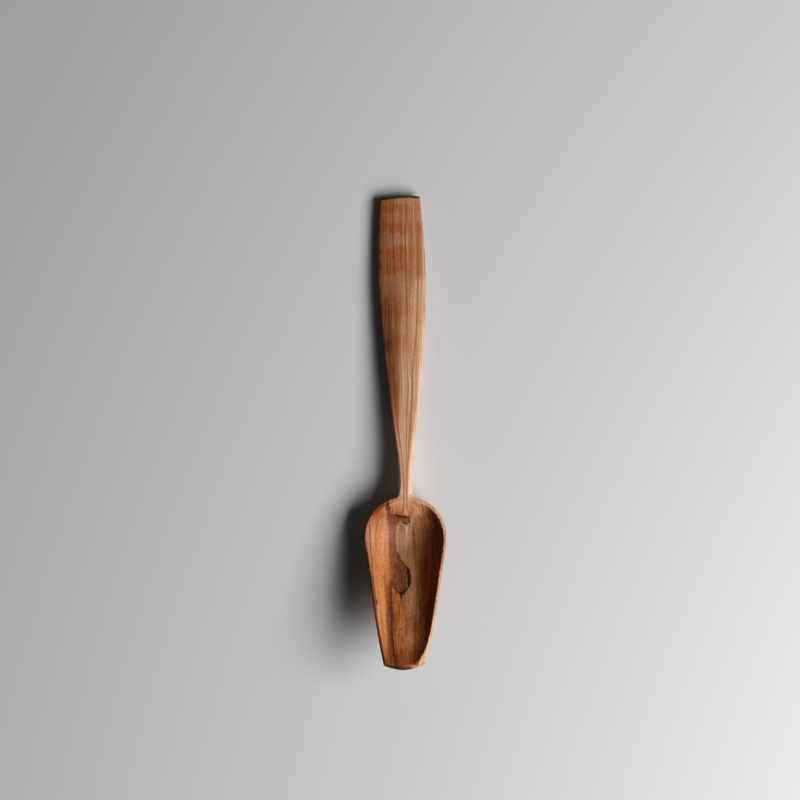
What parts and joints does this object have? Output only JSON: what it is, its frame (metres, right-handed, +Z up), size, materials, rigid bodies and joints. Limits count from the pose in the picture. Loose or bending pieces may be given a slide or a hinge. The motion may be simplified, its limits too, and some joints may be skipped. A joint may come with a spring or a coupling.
{
  "type": "carved spoon",
  "caption": "Hand-carved wooden eating spoon with a deep blunt-tipped bowl swept up to its tip, round shoulders, a slim keeled neck and a broad flat handle.",
  "frame": {"origin": "on the table under the middle of the spoon's length and width", "axes": "+Y along the spoon from the tip of the bowl to the end of the handle, +Z up out of the hollow, +X to the right seen from above with the handle pointing away"},
  "size_m": [0.0344, 0.2, 0.0249],
  "materials": {
    "spalted_wood": "knife-carved and oiled, satin, with fine grain and dark spalting lines in the bowl"
  },
  "bodies": {
    "root": {"spoon": "spalted_wood"}
  },
  "joints": []
}
